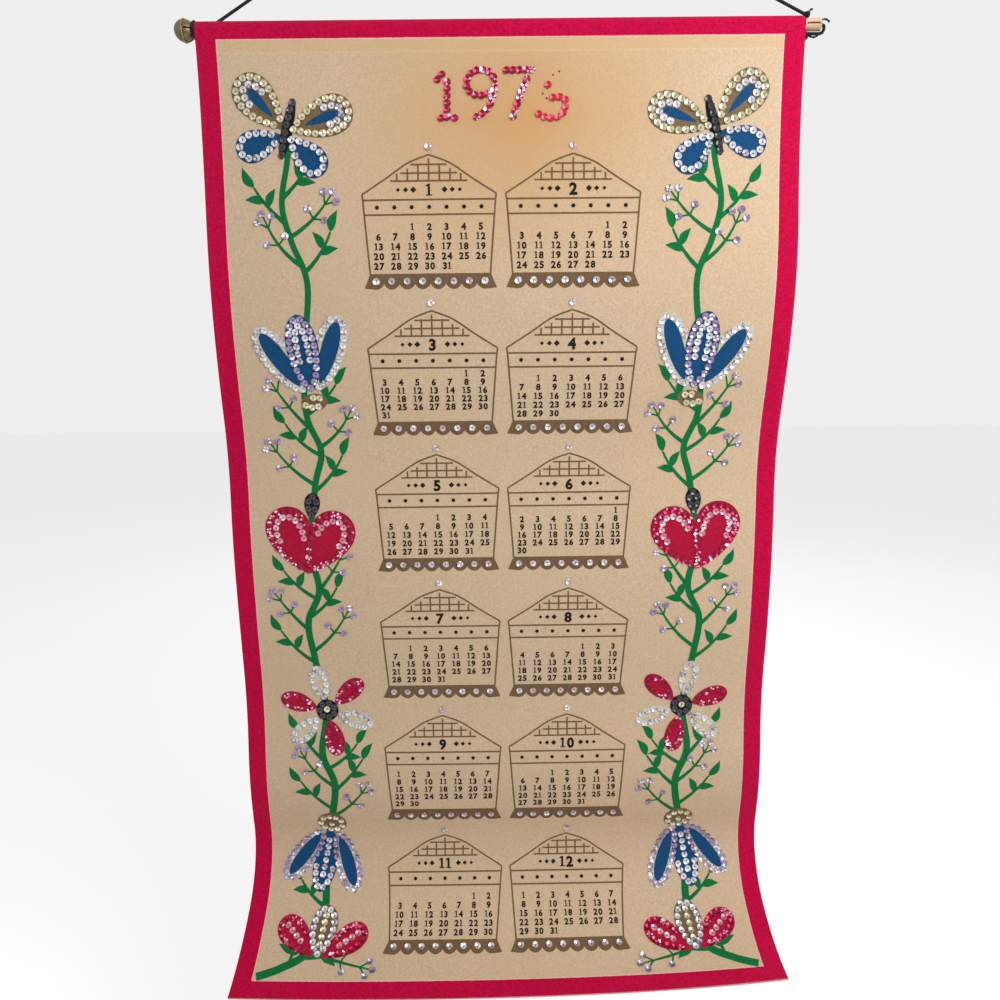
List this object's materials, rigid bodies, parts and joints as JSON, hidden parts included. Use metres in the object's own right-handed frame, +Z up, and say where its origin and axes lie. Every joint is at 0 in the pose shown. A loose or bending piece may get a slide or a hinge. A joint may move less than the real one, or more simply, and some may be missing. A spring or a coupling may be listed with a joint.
{
  "type": "cloth wall calendar",
  "caption": "Felt wall calendar hung from a wooden dowel by a black cord, with a floral print, month grids and glued sequins.",
  "frame": {"origin": "the point of the nail that the cord hangs on", "axes": "+X to the viewer's right, +Y into the wall, +Z up"},
  "size_m": [0.4512, 0.0994, 0.8168],
  "materials": {
    "felt": "printed wool-blend craft felt, crimson border",
    "birch": "bare turned wood",
    "antique_brass": "antique brass",
    "iron_pellet": "bare",
    "black_cord": "twisted",
    "sequin_black": "faceted gloss",
    "sequin_crystal": "faceted, iridescent",
    "sequin_gold": "faceted, pale gold",
    "sequin_lilac": "faceted, iridescent",
    "sequin_pearl": "faceted, pearl",
    "sequin_ruby": "faceted gloss"
  },
  "bodies": {
    "root": {"felt_panel": "felt", "dowel": "birch", "bell_shell": "antique_brass", "bell_pellet": "iron_pellet", "hanging_cord": "black_cord", "cord_tie_left": "black_cord", "cord_tie_right": "black_cord", "sequins_black": "sequin_black", "sequins_crystal": "sequin_crystal", "sequins_gold": "sequin_gold", "sequins_lilac": "sequin_lilac", "sequins_pearl": "sequin_pearl", "sequins_ruby": "sequin_ruby"}
  },
  "joints": []
}
